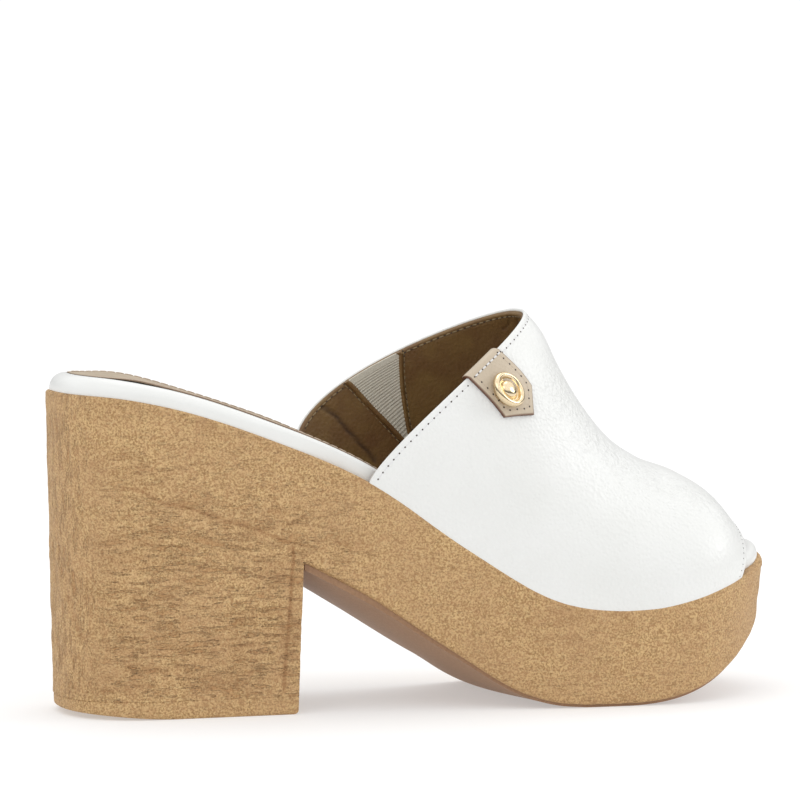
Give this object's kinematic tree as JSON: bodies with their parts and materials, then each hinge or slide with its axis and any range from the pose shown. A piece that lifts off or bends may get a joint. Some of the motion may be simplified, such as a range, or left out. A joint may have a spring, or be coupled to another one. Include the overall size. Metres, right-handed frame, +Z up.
{
  "type": "heeled sandal",
  "caption": "Peep-toe mule for the right foot: one-piece leather upper with a tab and stud, wrapped footbed, moulded cork-look platform and block heel.",
  "frame": {"origin": "middle of the heel's flat bottom, on the floor", "axes": "+X from the heel to the toe, +Y to the inner side of the right foot, +Z up"},
  "size_m": [0.2331, 0.087, 0.1216],
  "materials": {
    "cork_look": "moulded, textured",
    "lift_rubber": "matte",
    "outsole_rubber": "matte",
    "white_leather": "fine grain, satin",
    "tan_leather": "matte",
    "tab_leather": "satin",
    "elastic": "ribbed",
    "gold_metal": "polished"
  },
  "bodies": {
    "root": {"platform_sole": "cork_look", "heel_top_piece": "lift_rubber", "outsole": "outsole_rubber", "footbed": "white_leather", "sock_lining": "tan_leather", "upper": "white_leather", "elastic_gore": "elastic", "tab": "tab_leather", "stud": "gold_metal"}
  },
  "joints": []
}
